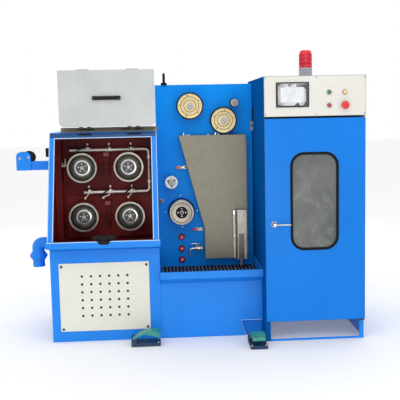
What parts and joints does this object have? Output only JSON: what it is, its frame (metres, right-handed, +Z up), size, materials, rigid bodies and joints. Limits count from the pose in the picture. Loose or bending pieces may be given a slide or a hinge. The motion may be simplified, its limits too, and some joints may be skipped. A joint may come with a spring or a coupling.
{
  "type": "wire drawing machine with annealer bay and spooler cabinet",
  "caption": "Fine wire drawing machine: four stepped cones in a lidded chamber, sheaves and a capstan on an annealer bay, and a spooler cabinet with a windowed door.",
  "frame": {"origin": "on the floor, under the middle of the machine's outer box", "axes": "+X to the right along the machine's front, +Y to its back, +Z up"},
  "size_m": [2.185, 0.986, 1.806],
  "materials": {
    "machine_blue": "glossy sprayed enamel",
    "white_sheet": "satin powder coat",
    "grille_steel": "dark wet steel bars",
    "stainless": "brushed, cloudy",
    "galvanised": "dull sheet",
    "latch_red": "red grips on bright strips",
    "button_maroon": "moulded, lit centres",
    "bright_metal": "polished",
    "black_steel": "satin black",
    "sheave_cream": "cast, cream coated",
    "drawing_steel": "turned and ground",
    "maroon_paint": "satin, wet with coolant",
    "black_plastic": "moulded grip",
    "panel_cream": "smooth powder coat",
    "screen_grey": "black bezel, pale screen",
    "button_mixed": "green, yellow and violet caps",
    "stop_red": "moulded mushroom",
    "beacon_grey": "moulded",
    "beacon_red": "ribbed translucent lens",
    "black_rubber": "matte",
    "pane_glass": "dusty clear sheet",
    "pedal_dark": "hammered dark blue",
    "pedal_green": "worn green enamel"
  },
  "bodies": {
    "root": {"chamber_base": "machine_blue", "bay_base": "machine_blue", "rear_housing": "machine_blue", "vent_panel": "white_sheet", "drip_tray": "machine_blue", "drain_grille": "grille_steel", "annealer_cover": "stainless", "wiper_box": "stainless", "cover_latches": "latch_red", "button_station": "button_maroon", "tap_body": "bright_metal", "lifting_eye": "black_steel", "wheel_axles": "bright_metal", "chamber_side_walls": "machine_blue", "chamber_roof": "machine_blue", "chamber_trough": "machine_blue", "chamber_front_frame": "machine_blue", "chamber_back_plate": "maroon_paint", "cone_bearings": "maroon_paint", "coolant_pipes": "bright_metal", "die_holders": "maroon_paint", "lid_hinge_rail": "stainless", "inlet_bracket": "machine_blue", "drain_elbow": "machine_blue", "cabinet_left_wall": "machine_blue", "cabinet_right_wall": "machine_blue", "cabinet_back_wall": "machine_blue", "cabinet_roof": "machine_blue", "cabinet_decks": "machine_blue", "bottom_plate": "galvanised", "control_panel": "panel_cream", "touch_screen": "screen_grey", "push_buttons": "button_mixed", "beacon_base": "beacon_grey", "beacon_dome": "beacon_red", "door_hinge_pins": "black_steel", "wire_guide": "bright_metal", "pedal_bases": "pedal_dark"},
    "lid_upper": {"lid_upper_leaf": "stainless"},
    "lid_lower": {"lid_lower_leaf": "stainless", "lid_handle": "black_plastic"},
    "door": {"door_panel": "machine_blue", "window_gasket": "black_rubber", "window_pane": "pane_glass"},
    "door_lever": {"door_lever": "bright_metal"},
    "cone_upper_left": {"cone_upper_left": "drawing_steel"},
    "cone_upper_right": {"cone_upper_right": "drawing_steel"},
    "cone_lower_left": {"cone_lower_left": "drawing_steel"},
    "cone_lower_right": {"cone_lower_right": "drawing_steel"},
    "exit_capstan": {"exit_capstan": "drawing_steel"},
    "sheave_upper": {"sheave_upper": "sheave_cream"},
    "sheave_lower": {"sheave_lower": "sheave_cream"},
    "plain_idler": {"plain_idler": "bright_metal"},
    "cap_idler": {"cap_idler": "black_steel"},
    "inlet_pulley": {"inlet_pulley": "black_steel"},
    "tap_lever": {"tap_lever": "bright_metal"},
    "stop_button": {"stop_button": "stop_red"},
    "treadle_left": {"treadle_left": "pedal_green"},
    "treadle_right": {"treadle_right": "pedal_green"}
  },
  "joints": [
    {"name": "lid_swing", "type": "hinge", "parent": "root", "child": "lid_upper", "pos_m": [-0.4875, 0.01829, 1.35966], "axis": [1, 0, 0], "range_deg": [0, 156.09]},
    {"name": "lid_fold", "type": "hinge", "parent": "lid_upper", "child": "lid_lower", "pos_m": [-0.4875, -0.00271, 1.71166], "axis": [1, 0, 0], "range_deg": [-180, 0]},
    {"name": "door_swing", "type": "hinge", "parent": "root", "child": "door", "pos_m": [1.0805, -0.357, 0.758], "axis": [0, 0, 1], "range_deg": [0, 110]},
    {"name": "door_lever_turn", "type": "hinge", "parent": "door", "child": "door_lever", "pos_m": [0.5265, -0.367, 0.741], "axis": [0, 1, 0], "range_deg": [0, 90]},
    {"name": "cone_upper_left_spin", "type": "hinge", "parent": "root", "child": "cone_upper_left", "pos_m": [-0.6735, 0.173, 1.081], "axis": [0, 1, 0], "continuous": true},
    {"name": "cone_upper_right_spin", "type": "hinge", "parent": "root", "child": "cone_upper_right", "pos_m": [-0.3685, 0.173, 1.081], "axis": [0, 1, 0], "continuous": true},
    {"name": "cone_lower_left_spin", "type": "hinge", "parent": "root", "child": "cone_lower_left", "pos_m": [-0.6735, 0.173, 0.753], "axis": [0, 1, 0], "continuous": true},
    {"name": "cone_lower_right_spin", "type": "hinge", "parent": "root", "child": "cone_lower_right", "pos_m": [-0.3685, 0.173, 0.753], "axis": [0, 1, 0], "continuous": true},
    {"name": "exit_capstan_spin", "type": "hinge", "parent": "root", "child": "exit_capstan", "pos_m": [-0.0235, 0.218, 0.757], "axis": [0, 1, 0], "continuous": true},
    {"name": "sheave_upper_spin", "type": "hinge", "parent": "root", "child": "sheave_upper", "pos_m": [0.0485, 0.218, 1.473], "axis": [0, 1, 0], "continuous": true},
    {"name": "sheave_lower_spin", "type": "hinge", "parent": "root", "child": "sheave_lower", "pos_m": [0.2725, 0.218, 1.373], "axis": [0, 1, 0], "continuous": true},
    {"name": "plain_idler_spin", "type": "hinge", "parent": "root", "child": "plain_idler", "pos_m": [-0.0875, 0.218, 0.963], "axis": [0, 1, 0], "continuous": true},
    {"name": "cap_idler_spin", "type": "hinge", "parent": "root", "child": "cap_idler", "pos_m": [0.3465, 0.218, 1.489], "axis": [0, 1, 0], "continuous": true},
    {"name": "inlet_pulley_spin", "type": "hinge", "parent": "root", "child": "inlet_pulley", "pos_m": [-1.0125, 0.113, 1.16], "axis": [0, 1, 0], "continuous": true},
    {"name": "tap_lever_turn", "type": "hinge", "parent": "root", "child": "tap_lever", "pos_m": [0.0885, 0.221, 0.5333], "axis": [0, 0, 1], "range_deg": [0, 90]},
    {"name": "stop_button_press", "type": "slide", "parent": "root", "child": "stop_button", "axis": [0, 1, 0], "range_m": [0, 0.006], "stiffness_N_per_m": 800, "springref_m": -0.002},
    {"name": "treadle_left_press", "type": "hinge", "parent": "root", "child": "treadle_left", "pos_m": [-0.3475, -0.299, 0.036], "axis": [0, 1, 0], "range_deg": [0, 10], "stiffness_Nm_per_rad": 15, "springref_deg": -4.58},
    {"name": "treadle_right_press", "type": "hinge", "parent": "root", "child": "treadle_right", "pos_m": [0.4105, -0.331, 0.036], "axis": [1, 0, 0], "range_deg": [0, 10], "stiffness_Nm_per_rad": 15, "springref_deg": -4.58}
  ],
  "couplings": [
    {"joint": "lid_fold", "follows": "lid_swing", "ratio": -1.1532},
    {"joint": "cone_upper_right_spin", "follows": "cone_upper_left_spin", "ratio": 1},
    {"joint": "cone_lower_left_spin", "follows": "cone_upper_left_spin", "ratio": 0.7},
    {"joint": "cone_lower_right_spin", "follows": "cone_upper_left_spin", "ratio": 0.7},
    {"joint": "exit_capstan_spin", "follows": "cone_upper_left_spin", "ratio": 1.1}
  ]
}
